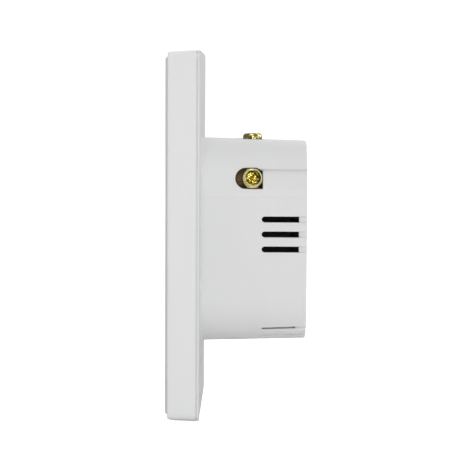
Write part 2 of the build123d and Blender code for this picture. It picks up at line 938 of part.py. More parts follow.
def power_board():
    """Mains board, cut to the inside of the box, on the four bosses."""
    outline = box_outline(box_wall + power_back_y * draft_slope + power_board_gap)
    board = slab(outline, power_front_y, power_back_y)
    for x, z in post_places:
        board -= rod(screw_radius + fit_gap, power_front_y - 1, power_back_y + 1, x, z)
    for place in terminal_places.values():
        cut = local_block(
            strip_in_x - slot_gap,
            strip_out_x + slot_gap,
            power_front_y - 1,
            power_back_y + 1,
            strip_tab_width + 2 * slot_gap,
        )
        board -= place * cut
    for x, z in pin_places():
        board -= block(pin_hole_side, pin_hole_side, power_front_y - 1, power_back_y + 1, x, z)
    for x, z in relay_pin_places():
        board -= rod(relay_pin_radius + relay_gap, power_front_y - 1, power_back_y + 1, x, z)
    return board


def terminal_strip(place):
    """Brass strip that stands on the power board behind one opening."""
    end = opening_rear_y - slot_gap
    strip = local_block(strip_in_x, strip_out_x, power_back_y, end, strip_width)
    tab_front = power_front_y - strip_tab_proud
    strip += local_block(strip_in_x, strip_out_x, tab_front, power_back_y, strip_tab_width)
    hole = terminal_shank_radius + terminal_thread_clearance
    return place * (strip - local_rod(hole, strip_in_x - 1, strip_out_x + 1))


def clamp_plate(place):
    """Plate under the screw head that presses on the wire."""
    half = clamp_width / 2
    plate = local_block(clamp_in_x, clamp_out_x, terminal_y - half, terminal_y + half, strip_width)
    plate = fillet(plate.edges().filter_by(Axis.X), clamp_corner_radius)
    hole = terminal_shank_radius + terminal_thread_clearance
    return place * (plate - local_rod(hole, clamp_in_x - 1, clamp_out_x + 1))


def terminal_screw(place):
    """Round-shouldered screw with a raised ring and a cross recess inside it."""
    radius = terminal_head_radius
    ring = terminal_ring_radius
    rim_x = head_under_x + terminal_head_rim
    floor_x = head_top_x - terminal_step_depth
    centre_x = floor_x + terminal_crown
    head = make_face(
        [
            Line((head_under_x, 0), (head_under_x, radius)),
            Line((head_under_x, radius), (rim_x, radius)),
            TangentArc((rim_x, radius), (head_top_x, ring), tangent=(1, 0)),
            Line((head_top_x, ring), (floor_x, ring - terminal_step_slope)),
            Line((floor_x, ring - terminal_step_slope), (centre_x, 0)),
            Line((centre_x, 0), (head_under_x, 0)),
        ]
    )
    screw = Pos(0, terminal_y, 0) * revolve(head, Axis.X)
    tip_x = head_under_x - terminal_shank_length
    shank = local_rod(terminal_shank_radius, tip_x, head_under_x)
    tip = shank.faces().sort_by(Axis.X)[0].edges()
    screw += chamfer(tip, terminal_tip_bevel)
    slot_x = floor_x - terminal_slot_depth
    for angle in (terminal_slot_angle, terminal_slot_angle + 90):
        bar = Box(head_top_x - slot_x, terminal_slot_length, terminal_slot_width)
        screw -= Pos((head_top_x + slot_x) / 2, terminal_y, 0) * Rot(angle, 0, 0) * bar
    return place * screw


def relay_pin_places():
    """Places of the relay's solder pins."""
    half_x = relay_width / 2 - relay_pin_inset_x
    half_z = relay_height / 2 - relay_pin_inset_z
    return [
        (-half_x, relay_z - half_z),
        (-half_x, relay_z + half_z),
        (half_x, relay_z - half_z),
        (half_x, relay_z + half_z),
        (0.0, relay_z + half_z),
    ]


def relay_cover():
    """Cover over the relay mechanism, open towards the board."""
    end = power_back_y + relay_depth
    cover = block(relay_width, relay_height, power_back_y, end, 0, relay_z)
    cover = fillet(cover.edges().filter_by(Axis.Y), relay_corner_radius)
    inner_w = relay_width - 2 * relay_wall
    inner_h = relay_height - 2 * relay_wall
    return cover - block(inner_w, inner_h, power_back_y - 1, end - relay_wall, 0, relay_z)


def relay_base():
    """Relay base with its solder pins."""
    width = relay_width - 2 * (relay_wall + relay_gap)
    height = relay_height - 2 * (relay_wall + relay_gap)
    base = block(width, height, power_back_y, relay_floor_y, 0, relay_z)
    for x, z in relay_pin_places():
        base += rod(relay_pin_radius, power_front_y - pin_tail, power_back_y, x, z)
    return base


def relay_yoke():
    """L-shaped yoke with the core and pole face riveted into its foot."""
    pole_y = yoke_top_y - pole_thickness
    wall = block(
        yoke_thickness, yoke_width, relay_floor_y, yoke_top_y, relay_hinge_x, relay_z
    )
    foot_end = coil_x + bobbin_flange_width / 2
    foot_width = foot_end - yoke_x
    foot = block(
        foot_width,
        yoke_width,
        relay_floor_y,
        relay_floor_y + yoke_thickness,
        yoke_x + foot_width / 2,
        relay_z,
    )
    core = rod(core_radius, relay_floor_y, pole_y, coil_x, relay_z)
    return wall + foot + core + rod(pole_radius, pole_y, yoke_top_y, coil_x, relay_z)


def relay_coil():
    """Bobbin and winding round the core."""
    front = relay_floor_y + yoke_thickness
    back = yoke_top_y - pole_thickness
    coil = rod(winding_radius, front, back, coil_x, relay_z)
    for start in (front, back - bobbin_flange):
        end = start + bobbin_flange
        flange = block(bobbin_flange_width, bobbin_flange_height, start, end, coil_x, relay_z)
        coil += fillet(flange.edges().filter_by(Axis.Y), bobbin_corner_radius)
    return coil - rod(core_radius + screw_clearance, front - 1, back + 1, coil_x, relay_z)


def relay_armature():
    """Armature plate with the moving contact spring, standing open."""
    left = relay_hinge_x - yoke_thickness / 4
    top = armature_under_y + armature_thickness
    middle = left + armature_length / 2
    arm = block(armature_length, armature_width, armature_under_y, top, middle, relay_z)
    spring_start = left + armature_length / 2
    spring_end = contact_x + contact_radius + spring_overhang
    spring_length = spring_end - spring_start
    spring_x = (spring_start + spring_end) / 2
    arm += block(spring_length, spring_width, top, top + spring_thickness, spring_x, relay_z)
    low = top - contact_height
    high = top + spring_thickness + contact_height
    arm += rod(contact_radius, low, high, contact_x, relay_z)
    hinge = Pos(relay_hinge_x, armature_under_y, 0)
    return hinge * Rot(0, 0, armature_opening) * hinge.inverse() * arm


def relay_contacts():
    """Fixed contacts below and above the moving one."""
    spring_y = armature_under_y + armature_thickness
    low_face = spring_y - contact_height - contact_gap
    lift = (contact_x - relay_hinge_x) * sin(radians(armature_opening))
    high_face = spring_y + spring_thickness + contact_height + lift + contact_gap
    low_post = block(
        contact_post_width,
        spring_width,
        relay_floor_y,
        low_face - contact_height,
        contact_x,
        relay_z,
    )
    low = low_post + rod(contact_radius, low_face - contact_height, low_face, contact_x, relay_z)
    arm_front = high_face + contact_height
    arm_back = arm_front + contact_strip
    wall_x = relay_width / 2 - relay_wall - relay_gap - contact_strip / 2
    arm_left = contact_x - contact_radius
    arm_right = wall_x + contact_strip / 2
    arm_length = arm_right - arm_left
    high = block(contact_strip, spring_width, relay_floor_y, arm_back, wall_x, relay_z)
    high += block(arm_length, spring_width, arm_front, arm_back, arm_left + arm_length / 2, relay_z)
    high += rod(contact_radius, high_face, arm_front, contact_x, relay_z)
    return [low, high]


def transformer_core():
    """Ferrite core with two windows for the bobbin."""
    core = block(
        transformer_core_width,
        transformer_core_thickness,
        transformer_foot_y,
        transformer_top_y,
        transformer_x,
        transformer_z,
    )
    for sign in (-1, 1):
        x = transformer_x + sign * (transformer_centre_leg + window_width) / 2
        front = transformer_foot_y + transformer_leg
        back = transformer_top_y - transformer_leg
        core -= block(window_width, transformer_core_thickness + 2, front, back, x, transformer_z)
    return core


def transformer_bobbin():
    """Wound bobbin on its pin base, through the windows of the core."""
    base = soft_block(
        transformer_core_width,
        transformer_base_height,
        transformer_base_radius,
        power_back_y,
        transformer_foot_y,
        transformer_x,
        transformer_z,
    )
    front = transformer_foot_y + transformer_leg + bobbin_gap
    back = transformer_top_y - transformer_leg - bobbin_gap
    width = transformer_centre_leg + 2 * (window_width - bobbin_gap)
    winding = block(width, bobbin_depth, front, back, transformer_x, transformer_z)
    winding = fillet(winding.edges().filter_by(Axis.Y), winding_corner_radius)
    foot = (bobbin_depth - transformer_core_thickness) / 2 - bobbin_gap
    for sign in (-1, 1):
        z = transformer_z + sign * (bobbin_depth - foot) / 2
        foot_width = width - 2 * bobbin_foot_inset
        winding += block(foot_width, foot, transformer_foot_y, front, transformer_x, z)
    hole_w = transformer_centre_leg + 2 * bobbin_gap
    hole_h = transformer_core_thickness + 2 * bobbin_gap
    winding -= block(hole_w, hole_h, front - 1, back + 1, transformer_x, transformer_z)
    return base + winding


def capacitors():
    """Two smoothing capacitors with a crimp groove near the foot."""
    cans = []
    for index in range(2):
        x = capacitor_x
        z = capacitor_low_z + capacitor_radius + index * (2 * capacitor_radius + capacitor_gap)
        back = power_back_y + capacitor_height
        can = rod(capacitor_radius, power_back_y, back, x, z)
        can = chamfer(can.faces().sort_by(Axis.Y)[-1].edges(), part_edge)
        groove_y = power_back_y + capacitor_radius / 2
        ring = rod(capacitor_radius + 1, groove_y, groove_y + 2 * capacitor_groove, x, z)
        ring -= rod(capacitor_radius - capacitor_groove, 0, back, x, z)
        cans.append(can - ring)
    return cans


def film_capacitor():
    """Boxed film capacitor across the mains."""
    back = power_back_y + film_depth
    body = soft_block(film_width, film_height, part_edge, power_back_y, back, film_x, film_z)
    return chamfer(body.faces().sort_by(Axis.Y)[-1].edges(), part_edge / 2)


def fuse():
    """Boxed fuse."""
    back = power_back_y + fuse_depth
    body = soft_block(fuse_width, fuse_height, part_edge, power_back_y, back, fuse_x, fuse_z)
    return chamfer(body.faces().sort_by(Axis.Y)[-1].edges(), part_edge / 2)


def varistor():
    """Disc varistor on two leads."""
    centre_y = power_back_y + varistor_lift + varistor_radius
    disc = Rot(0, 90, 0) * Cylinder(varistor_radius, varistor_thickness)
    disc = Pos(varistor_x, centre_y, varistor_z) * disc
    disc = chamfer(disc.edges().filter_by(GeomType.CIRCLE), varistor_thickness / 3)
    for sign in (-1, 1):
        z = varistor_z + sign * varistor_radius / 2
        disc += rod(lead_radius, power_back_y, centre_y, varistor_x, z)
    return disc


def build_parts():
    """Every piece by its node name."""
    parts = {
        "rear_housing": rear_housing(),
        "bezel": bezel(),
        "front_key": front_key(),
        "light_pipe": light_pipe(),
        "bumper_pads": bumper_pads(),
        "carrier_plate": carrier_plate(),
        "mounting_strap": mounting_strap(),
        "assembly_screws": assembly_screws(),
        "button_board": button_board(),
        "tact_switch_bodies": tact_switch_bodies(),
        "tact_plungers": tact_plungers(),
        "status_led": status_led(),
        "radio_module": radio_module(),
        "radio_shield": radio_shield(),
        "board_header": board_header(),
        "board_socket": board_socket(),
        "power_board": power_board(),
        "relay_cover": relay_cover(),
        "relay_base": relay_base(),
        "relay_yoke": relay_yoke(),
        "relay_coil": relay_coil(),
        "relay_armature": relay_armature(),
        "relay_contacts": relay_contacts(),
        "transformer_core": transformer_core(),
        "transformer_bobbin": transformer_bobbin(),
        "capacitors": capacitors(),
        "film_capacitor": film_capacitor(),
        "fuse": fuse(),
        "varistor": varistor(),
    }
    for name, place in terminal_places.items():
        parts[f"terminal_strip_{name}"] = terminal_strip(place)
        parts[f"clamp_plate_{name}"] = clamp_plate(place)
        parts[f"terminal_screw_{name}"] = terminal_screw(place)
    return parts


os.makedirs("parts", exist_ok=True)
for part_name, shape in build_parts().items():
    if isinstance(shape, list):
        shape = Compound(children=shape)
    export_step(shape, f"parts/{part_name}.step")
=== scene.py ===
"""Finishes, camera and studio light of the smart switch, in metres and in the part's own frame."""

import json
import math

import bpy
from mathutils import Matrix, Vector


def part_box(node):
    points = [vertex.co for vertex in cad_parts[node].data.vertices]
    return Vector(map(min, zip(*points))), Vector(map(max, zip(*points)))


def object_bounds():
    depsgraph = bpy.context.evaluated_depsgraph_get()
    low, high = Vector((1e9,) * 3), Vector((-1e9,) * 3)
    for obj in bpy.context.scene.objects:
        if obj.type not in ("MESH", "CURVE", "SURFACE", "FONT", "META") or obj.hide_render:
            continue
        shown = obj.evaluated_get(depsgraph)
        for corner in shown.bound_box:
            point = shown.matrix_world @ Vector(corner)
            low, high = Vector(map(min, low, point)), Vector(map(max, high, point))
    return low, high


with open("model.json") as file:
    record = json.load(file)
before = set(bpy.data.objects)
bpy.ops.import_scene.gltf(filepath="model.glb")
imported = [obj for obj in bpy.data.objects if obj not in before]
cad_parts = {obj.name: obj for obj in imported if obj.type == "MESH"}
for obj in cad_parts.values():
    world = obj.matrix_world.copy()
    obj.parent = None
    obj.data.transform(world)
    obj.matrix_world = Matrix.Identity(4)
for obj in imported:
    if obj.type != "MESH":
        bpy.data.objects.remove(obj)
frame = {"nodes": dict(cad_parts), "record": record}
cad_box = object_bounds()
nodes = frame["nodes"]
MM = 0.001


# Viewpoint of the photograph

CAMERA_PLACE = (0.587, 0.0156, 0.0478)
CAMERA_YAW = math.radians(-0.39)
CAMERA_PITCH = math.radians(4.6)
CAMERA_ROLL = math.radians(0.30)
CAMERA_LENS = 131.26
SENSOR_WIDTH = 36.0


# Studio

WHITE_LIGHT = (1.0, 1.0, 1.0)
FLOOR_SIZE = 6.0
FLOOR_GAP = 0.05 * MM
FLOOR_TONES = ((0.78, 0.78, 0.78), (0.79, 0.79, 0.79))
FLOOR_GLOW = 0.02
FLOOR_GLOW_SEEN = 0.80
ROOM_LEVEL = 0.49
ROOM_LEVEL_SEEN = 1.1
ROOM_LEVEL_MIRRORED = 0.85
SIDE_LEVEL_MIRRORED = 0.15
LAMP_TARGET = Vector((0.0, 0.012, 0.003))
# Each lamp's name, place, diameter, and the level that a white face turned to it shows.
LAMPS = (
    ("side_lamp", (1.25, 0.16, 0.42), 0.50, 0.145),
    ("low_lamp", (0.95, 0.52, 0.02), 0.35, 0.18),
    ("spark_lamp", (0.95, -0.08, 0.04), 0.02, 0.05),
    ("front_lamp", (-0.05, -0.60, 0.50), 0.40, 0.20),
    ("back_lamp", (-0.50, 1.10, 0.60), 0.90, 0.14),
    ("top_lamp", (0.20, 0.10, 1.50), 0.90, 0.10),
    ("far_lamp", (-1.40, -0.10, 0.90), 0.90, 0.20),
)


# Places on the part that its finishes and its painted shade follow

KEY_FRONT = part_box("front_key")[0].y
# Inside faces of the box: its sides lean in with depth by the draft, and its back is flat.
BOX_WIDTH = 46.0 * MM
BOX_WALL = 2.0 * MM
BOX_DRAFT = math.radians(1.5)
SIDE_INSIDE = BOX_WIDTH / 2 - BOX_WALL
BACK_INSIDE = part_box("rear_housing")[1].y - BOX_WALL
# Depths and heights over which the painted shade behind the vents fades in and out.
VENT_DEPTHS = ((6.0 * MM, 12.0 * MM), (BACK_INSIDE + 0.1 * MM, BACK_INSIDE + 0.5 * MM))
VENT_HEIGHTS = ((-14.0 * MM, -9.0 * MM), (14.0 * MM, 19.0 * MM))
# Inner radius of a terminal screw's rim, and how far the painted highlight and shade rings lie off a
# side screw's axis.
RIM_RADIUS = 2.45 * MM
SIDE_SHIFT = (0.30 * MM, 0.40 * MM)


# Short calls for nodes


class Nodes:
    """The node tree of a material or a world."""

    def __init__(self, tree):
        self.tree = tree

    def add(self, kind, **settings):
        node = self.tree.nodes.new(kind)
        for key, value in settings.items():
            setattr(node, key, value)
        return node

    def feed(self, socket, value):
        """Link another node's output to a socket, or set the socket's own number or colour."""
        if isinstance(value, bpy.types.NodeSocket):
            self.tree.links.new(value, socket)
        elif socket.type == "RGBA":
            socket.default_value = (*value, 1.0)
        else:
            socket.default_value = value

    def maths(self, operation, a, b=0.0, c=0.0):
        node = self.add("ShaderNodeMath", operation=operation)
        for socket, value in zip(node.inputs, (a, b, c)):
            self.feed(socket, value)
        return node.outputs[0]

    def times(self, first, *others):
        for other in others:
            first = self.maths("MULTIPLY", first, other)
        return first

    def spread(self, value, low, high, at_low=0.0, at_high=1.0):
        """Go smoothly from at_low to at_high while the value goes from low to high."""
        node = self.add("ShaderNodeMapRange", interpolation_type="SMOOTHSTEP")
        self.feed(node.inputs["Value"], value)
        self.feed(node.inputs["From Min"], low)
        self.feed(node.inputs["From Max"], high)
        self.feed(node.inputs["To Min"], at_low)
        self.feed(node.inputs["To Max"], at_high)
        return node.outputs["Result"]

    def fade(self, value, low, high, most=1.0):
        """The most below low, and smoothly down to 0 at high."""
        return self.spread(value, low, high, at_low=most, at_high=0.0)

    def band(self, value, rise, fall):
        """1 between two stretches: up from 0 over rise, and back down to 0 over fall."""
        return self.times(self.spread(value, *rise), self.fade(value, *fall))

    def choose(self, factor, first, second):
        """The first number where the factor is 0, and the second where it is 1."""
        node = self.add("ShaderNodeMix")
        self.feed(node.inputs["Factor"], factor)
        self.feed(node.inputs["A"], first)
        self.feed(node.inputs["B"], second)
        return node.outputs["Result"]


class Look(Nodes):
    """A material with its Principled shader, and patterns that are fixed to the part."""

    def __init__(self, name):
        self.material = bpy.data.materials.new(name)
        self.material.use_nodes = True
        super().__init__(self.material.node_tree)
        self.shader = self.tree.nodes["Principled BSDF"]
        self.place = self.add("ShaderNodeTexCoord").outputs["Object"]

    def noise(self, scale, detail=3.0, roughness=0.5, stretch=None, distortion=0.0):
        """Soft cloudy pattern, mostly between 0.3 and 0.7; the scale is in repeats a metre."""
        place = self.place
        if stretch:
            mapping = self.add("ShaderNodeMapping")
            self.feed(mapping.inputs["Vector"], place)
            self.feed(mapping.inputs["Scale"], stretch)
            place = mapping.outputs["Vector"]
        node = self.add("ShaderNodeTexNoise")
        self.feed(node.inputs["Vector"], place)
        self.feed(node.inputs["Scale"], scale)
        self.feed(node.inputs["Detail"], detail)
        self.feed(node.inputs["Roughness"], roughness)
        self.feed(node.inputs["Distortion"], distortion)
        return node.outputs["Fac"]

    def cells(self, scale, feature="F1"):
        """Distance from the nearest cell's middle, or from its edge; scale as in noise."""
        node = self.add("ShaderNodeTexVoronoi", feature=feature)
        self.feed(node.inputs["Vector"], self.place)
        self.feed(node.inputs["Scale"], scale)
        return node.outputs["Distance"]

    def axis(self, letter):
        node = self.add("ShaderNodeSeparateXYZ")
        self.feed(node.inputs["Vector"], self.place)
        return node.outputs[letter]

    def crevices(self, reach):
        """1 on open surfaces, falling towards 0 deep in slots, grooves and corners."""
        node = self.add("ShaderNodeAmbientOcclusion", samples=4)
        self.feed(node.inputs["Distance"], reach)
        return node.outputs["AO"]

    def blend(self, amount, first, second):
        """The first colour where the amount is 0, and the second where it is 1."""
        node = self.add("ShaderNodeMix", data_type="RGBA")
        first_colour, second_colour = node.inputs[6:8]
        self.feed(node.inputs["Factor"], amount)
        self.feed(first_colour, first)
        self.feed(second_colour, second)
        return node.outputs[2]

    def vary(self, pattern, first, second, low=0.3, high=0.7):
        """A number or a colour that goes from first to second while a pattern goes up."""
        if isinstance(first, tuple):
            return self.blend(self.spread(pattern, low, high), first, second)
        return self.spread(pattern, low, high, first, second)

    def soft_edges(self, radius):
        node = self.add("ShaderNodeBevel", samples=6)
        self.feed(node.inputs["Radius"], radius)
        return node.outputs["Normal"]

    def bump(self, height, depth, normal=None, strength=1.0):
        node = self.add("ShaderNodeBump")
        self.feed(node.inputs["Strength"], strength)
        self.feed(node.inputs["Distance"], depth)
        self.feed(node.inputs["Height"], height)
        if normal is not None:
            self.feed(node.inputs["Normal"], normal)
        return node.outputs["Normal"]

    def finish(self, colour, roughness, **others):
        """Feed the shader; the others are its sockets' names, with _ for each space."""
        self.feed(self.shader.inputs["Base Color"], colour)
        self.feed(self.shader.inputs["Roughness"], roughness)
        for name, value in others.items():
            self.feed(self.shader.inputs[name.replace("_", " ")], value)
        return self.material


def tinted(colour, *shares):
    """A colour times one share, or times a share for each of its channels."""
    if len(shares) == 1:
        shares = shares * 3
    return tuple(channel * share for channel, share in zip(colour, shares))


# White moulded plastic

HOUSING_WHITE = (0.765, 0.767, 0.771)
BEZEL_WHITE = (0.785, 0.787, 0.790)
KEY_WHITE = (0.79, 0.792, 0.796)
# Painted shade along the key's bevel and sides.
KEY_EDGE_SHADE = (0.60, 0.60, 0.61)
CARRIER_WHITE = (0.74, 0.74, 0.745)
# Painted shade for the inside of the box behind the vents.
INSIDE_SHADE = (0.012, 0.012, 0.012)


def moulded(name, base, grain=0.004 * MM, rough=(0.6, 0.72), gloss=0.3, edge=0.12 * MM, detail=None):
    """Spark-eroded plastic: flow marks, warmer mottles, specks, wiped patches and fine grain."""
    look = Look(name)
    flow = look.noise(38.0, detail=4.0, roughness=0.55, stretch=(1.0, 1.0, 0.35), distortion=0.4)
    tone = look.vary(flow, tinted(base, 0.975), base)
    mottles = look.spread(look.noise(420.0), 0.58, 0.8, at_high=0.5)
    tone = look.blend(mottles, tone, tinted(base, 0.985, 0.98, 0.965))
    specks = look.fade(look.cells(520.0), 0.0, 0.06, most=0.10)
    tone = look.blend(specks, tone, tinted(base, 0.7))
    if detail:
        tone = detail(look, tone)
    wiped = look.noise(95.0, detail=5.0, roughness=0.6, stretch=(1.0, 1.0, 0.25))
    roughness = look.vary(wiped, *rough, high=0.75)
    normal = look.soft_edges(edge)
    normal = look.bump(look.noise(9000.0, detail=2.0, roughness=0.6), grain, normal)
    normal = look.bump(look.noise(70.0, detail=2.0), 0.02 * MM, normal, strength=0.35)
    return look.finish(tone, roughness, Normal=normal, IOR=1.5, Specular_IOR_Level=gloss)


def key_edge_shade(look, tone):
    """Painted shade: the key's bevel and sides are painted a shade greyer than its front face."""
    behind = look.spread(look.axis("Y"), KEY_FRONT + 0.03 * MM, KEY_FRONT + 0.15 * MM)
    return look.blend(behind, tone, KEY_EDGE_SHADE)


def box_painted_shade(look, tone):
    """Painted shade in the slots and corners of the box, and painted dark shade on its inside behind
    the vents.
    """
    depth = look.axis("Y")
    # Painted shade: darker deep in slots, grooves and corners, behind the plate only.
    crevice_shade = look.fade(look.crevices(1.6 * MM), 0.25, 0.85, most=0.62)
    behind_plate = look.spread(depth, 0.5 * MM, 2.0 * MM)
    tone = look.blend(look.times(crevice_shade, behind_plate), tone, tinted(HOUSING_WHITE, 0.42))
    # Painted shade: the inside faces of the box behind the vents are painted near black.
    across = look.maths("ABSOLUTE", look.axis("X"))
    across = look.maths("MULTIPLY_ADD", depth, math.tan(BOX_DRAFT), across)
    inside = look.fade(across, SIDE_INSIDE + 0.05 * MM, SIDE_INSIDE + 0.35 * MM)
    by_depth = look.band(depth, *VENT_DEPTHS)
    by_height = look.band(look.axis("Z"), *VENT_HEIGHTS)
    return look.blend(look.times(inside, by_depth, by_height, 0.93), tone, INSIDE_SHADE)


# Brass screws

GOLD = ((0.05, 0.032, 0.002), (0.80, 0.67, 0.15))
RIM_HIGHLIGHT = ((0.76, 0.66, 0.24), (0.94, 0.88, 0.50))
STEP_SHADE = (0.030, 0.026, 0.012)
STAIN_AND_DARK_REFLECTION = (0.085, 0.070, 0.014)
RECESS_SHADE = (0.21, 0.125, 0.006)
DARK_PATCH_TONE = (0.020, 0.013, 0.001)


def distance_from(look, centre, across):
    """Distance from a line along one axis; across has the letters of the two others."""
    squares = []
    for letter, middle in zip(across, centre):
        offset = look.maths("SUBTRACT", look.axis(letter), middle)
        squares.append(look.times(offset, offset))
    return look.maths("SQRT", look.maths("ADD", *squares))


def screw_brass(node_name, axis, outward, stain_and_dark_reflection, shift):
    """Plated brass screw: painted highlight on the pale rim, painted shade on the step inside it,
    and a worn and stained golden recess with painted shade deep in it.

    The axis is the letter of the screw's own axis, and outward is 1 or -1, the way its head
    looks. The painted highlight and shade rings lie off that axis by the shift, as in the
    photograph.
    """
    low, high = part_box(node_name)
    middle = (low + high) / 2
    across = "XYZ".replace(axis, "")
    centre = [middle["XYZ".index(letter)] + move for letter, move in zip(across, shift)]
    face = (high if outward > 0 else low)["XYZ".index(axis)]

    look = Look(node_name + "_brass")
    patches = look.noise(700.0, detail=5.0, roughness=0.65)
    gold = look.vary(patches, *GOLD, low=0.46, high=0.56)
    pale = look.vary(patches, *RIM_HIGHLIGHT)
    radius = distance_from(look, centre, across)
    # Painted highlight: the rim is painted pale.
    rim = look.spread(radius, RIM_RADIUS - 0.07 * MM, RIM_RADIUS + 0.07 * MM)
    tone = look.blend(rim, gold, pale)

    # Painted shade: a dark ring on the step just inside the rim, broken by a pattern.
    step_inner = (RIM_RADIUS - 0.60 * MM, RIM_RADIUS - 0.40 * MM)
    step_outer = (RIM_RADIUS + 0.01 * MM, RIM_RADIUS + 0.15 * MM)
    step = look.band(radius, step_inner, step_outer)
    broken = look.spread(look.noise(380.0, roughness=0.6), 0.30, 0.50)
    tone = look.blend(look.times(step, broken, 0.94), tone, STEP_SHADE)
    # Stains; on the top screw they cover most of the head as a painted dark reflection.
    stain_start = 0.46 - 0.08 * stain_and_dark_reflection
    stained = look.noise(760.0, roughness=0.55)
    stained = look.spread(stained, stain_start, stain_start + 0.07, at_high=stain_and_dark_reflection)
    tone = look.blend(stained, tone, STAIN_AND_DARK_REFLECTION)

    height = look.times(look.maths("SUBTRACT", look.axis(axis), face), outward)
    sunk = look.fade(height, -1.5 * MM, -0.62 * MM, most=0.6)
    recess = look.fade(radius, RIM_RADIUS - 0.25 * MM, RIM_RADIUS - 0.05 * MM)
    tone = look.blend(look.times(sunk, recess), tone, RECESS_SHADE)
    # Dark patches scattered over the recess.
    dark_patches = look.fade(look.noise(520.0, detail=2.0), 0.40, 0.48, most=0.92)
    tone = look.blend(look.times(dark_patches, recess), tone, DARK_PATCH_TONE)

    roughness = look.vary(look.noise(1500.0, detail=4.0, roughness=0.6), 0.05, 0.14)
    normal = look.soft_edges(0.10 * MM)
    normal = look.bump(look.noise(800.0, detail=4.0, roughness=0.6), 0.12 * MM, normal)
    normal = look.bump(look.noise(5200.0, detail=2.0), 0.006 * MM, normal)
    return look.finish(tone, roughness, Normal=normal, Metallic=1.0)


# Other metals, plastics and lacquers


def stamped_metal(name, first, second, rough=(0.24, 0.42), corner_shade=0.0):
    """Stamped sheet with rolling marks, stains and soft edges, and painted shade in its corners."""
    look = Look(name)
    rolled = look.noise(240.0, detail=4.0, roughness=0.6, stretch=(1.0, 1.0, 12.0))
    stained = look.noise(130.0, detail=5.0, roughness=0.7)
    tone = look.vary(rolled, first, second)
    tone = look.blend(look.spread(stained, 0.56, 0.72, at_high=0.45), tone, tinted(first, 0.55))
    # Painted shade darkening the corners and crevices.
    if corner_shade:
        corners = look.fade(look.crevices(3.0 * MM), 0.25, 0.80, most=corner_shade)
        tone = look.blend(corners, tone, tinted(first, 0.12))
    roughness = look.vary(stained, *rough)
    normal = look.bump(rolled, 0.006 * MM, look.soft_edges(0.08 * MM))
    return look.finish(tone, roughness, Normal=normal, Metallic=1.0)


def plain_plastic(name, first, second, rough=(0.38, 0.6), gloss=0.5):
    """Plastic, rubber, ferrite or lacquer with faint clouds in its colour and a fine grain."""
    look = Look(name)
    tone = look.vary(look.noise(160.0, detail=4.0, roughness=0.6), first, second)
    roughness = look.vary(look.noise(420.0, detail=4.0), *rough)
    grain = look.noise(6500.0, detail=2.0)
    normal = look.bump(grain, 0.006 * MM, look.soft_edges(0.12 * MM))
    return look.finish(tone, roughness, Normal=normal, IOR=1.5, Specular_IOR_Level=gloss)


def clear_plastic(name):
    """Slightly cloudy clear plastic, of the light pipe."""
    look = Look(name)
    cloud = look.noise(900.0, roughness=0.6)
    tone = look.vary(cloud, (0.86, 0.88, 0.90), (0.93, 0.94, 0.95), low=0.35)
    roughness = look.vary(cloud, 0.32, 0.45)
    normal = look.bump(look.noise(7000.0, detail=2.0), 0.003 * MM)
    return look.finish(tone, roughness, Normal=normal, IOR=1.49, Transmission_Weight=0.55)


def circuit_board(name):
    """Green solder mask with raised copper runs under it, and round tinned pads."""
    look = Look(name)
    runs = look.fade(look.cells(210.0, "DISTANCE_TO_EDGE"), 0.030, 0.055)
    pads = look.fade(look.cells(150.0), 0.10, 0.13)
    mask = look.noise(60.0)
    tone = look.vary(mask, (0.012, 0.11, 0.045), (0.02, 0.15, 0.06), low=0.35, high=0.65)
    tone = look.blend(runs, tone, (0.035, 0.24, 0.09))
    tone = look.blend(pads, tone, (0.62, 0.62, 0.58))
    roughness = look.vary(look.noise(900.0), 0.25, 0.4)
    normal = look.bump(look.maths("MAXIMUM", runs, pads), 0.035 * MM)
    return look.finish(tone, roughness, Normal=normal, IOR=1.55)


def winding(name):
    """Fine lacquered wire in close turns."""
    look = Look(name)
    wave = look.add("ShaderNodeTexWave", wave_type="BANDS", bands_direction="Y")
    look.feed(wave.inputs["Vector"], look.place)
    look.feed(wave.inputs["Scale"], 900.0)
    look.feed(wave.inputs["Distortion"], 0.6)
    turns = wave.outputs["Fac"]
    tone = look.blend(turns, (0.20, 0.055, 0.015), (0.62, 0.24, 0.09))
    roughness = look.spread(turns, 0.0, 1.0, at_low=0.42, at_high=0.22)
    normal = look.bump(turns, 0.03 * MM)
    return look.finish(tone, roughness, Normal=normal, Metallic=0.6)


# Which finish each material slot and each screw has

MOULDED = {
    "housing_plastic": dict(base=HOUSING_WHITE, edge=0.16 * MM, detail=box_painted_shade),
    "bezel_plastic": dict(base=BEZEL_WHITE, rough=(0.45, 0.58), gloss=0.4),
    "key_plastic": dict(
        base=KEY_WHITE, grain=0.002 * MM, rough=(0.3, 0.45), gloss=0.5, detail=key_edge_shade
    ),
    "carrier_plastic": dict(base=CARRIER_WHITE, grain=0.006 * MM),
}
METALS = {
    "zinc_steel": dict(first=(0.55, 0.56, 0.58), second=(0.72, 0.73, 0.74)),
    "screw_steel": dict(first=(0.50, 0.50, 0.50), second=(0.68, 0.68, 0.68)),
    "tinned_steel": dict(first=(0.66, 0.66, 0.65), second=(0.80, 0.80, 0.79)),
    "contact_brass": dict(first=(0.62, 0.45, 0.20), second=(0.80, 0.64, 0.36)),
    # Painted shade: the clamp's brass is painted dark for the shade of its cavity.
    "clamp_brass": dict(first=(0.16, 0.11, 0.035), second=(0.34, 0.25, 0.09), rough=(0.3, 0.5)),
    # Painted shade: the strip's brass is painted dark for the shade of its cavity.
    "strip_brass": dict(
        first=(0.060, 0.042, 0.020), second=(0.16, 0.110, 0.055), rough=(0.4, 0.6), corner_shade=0.9
    ),
}
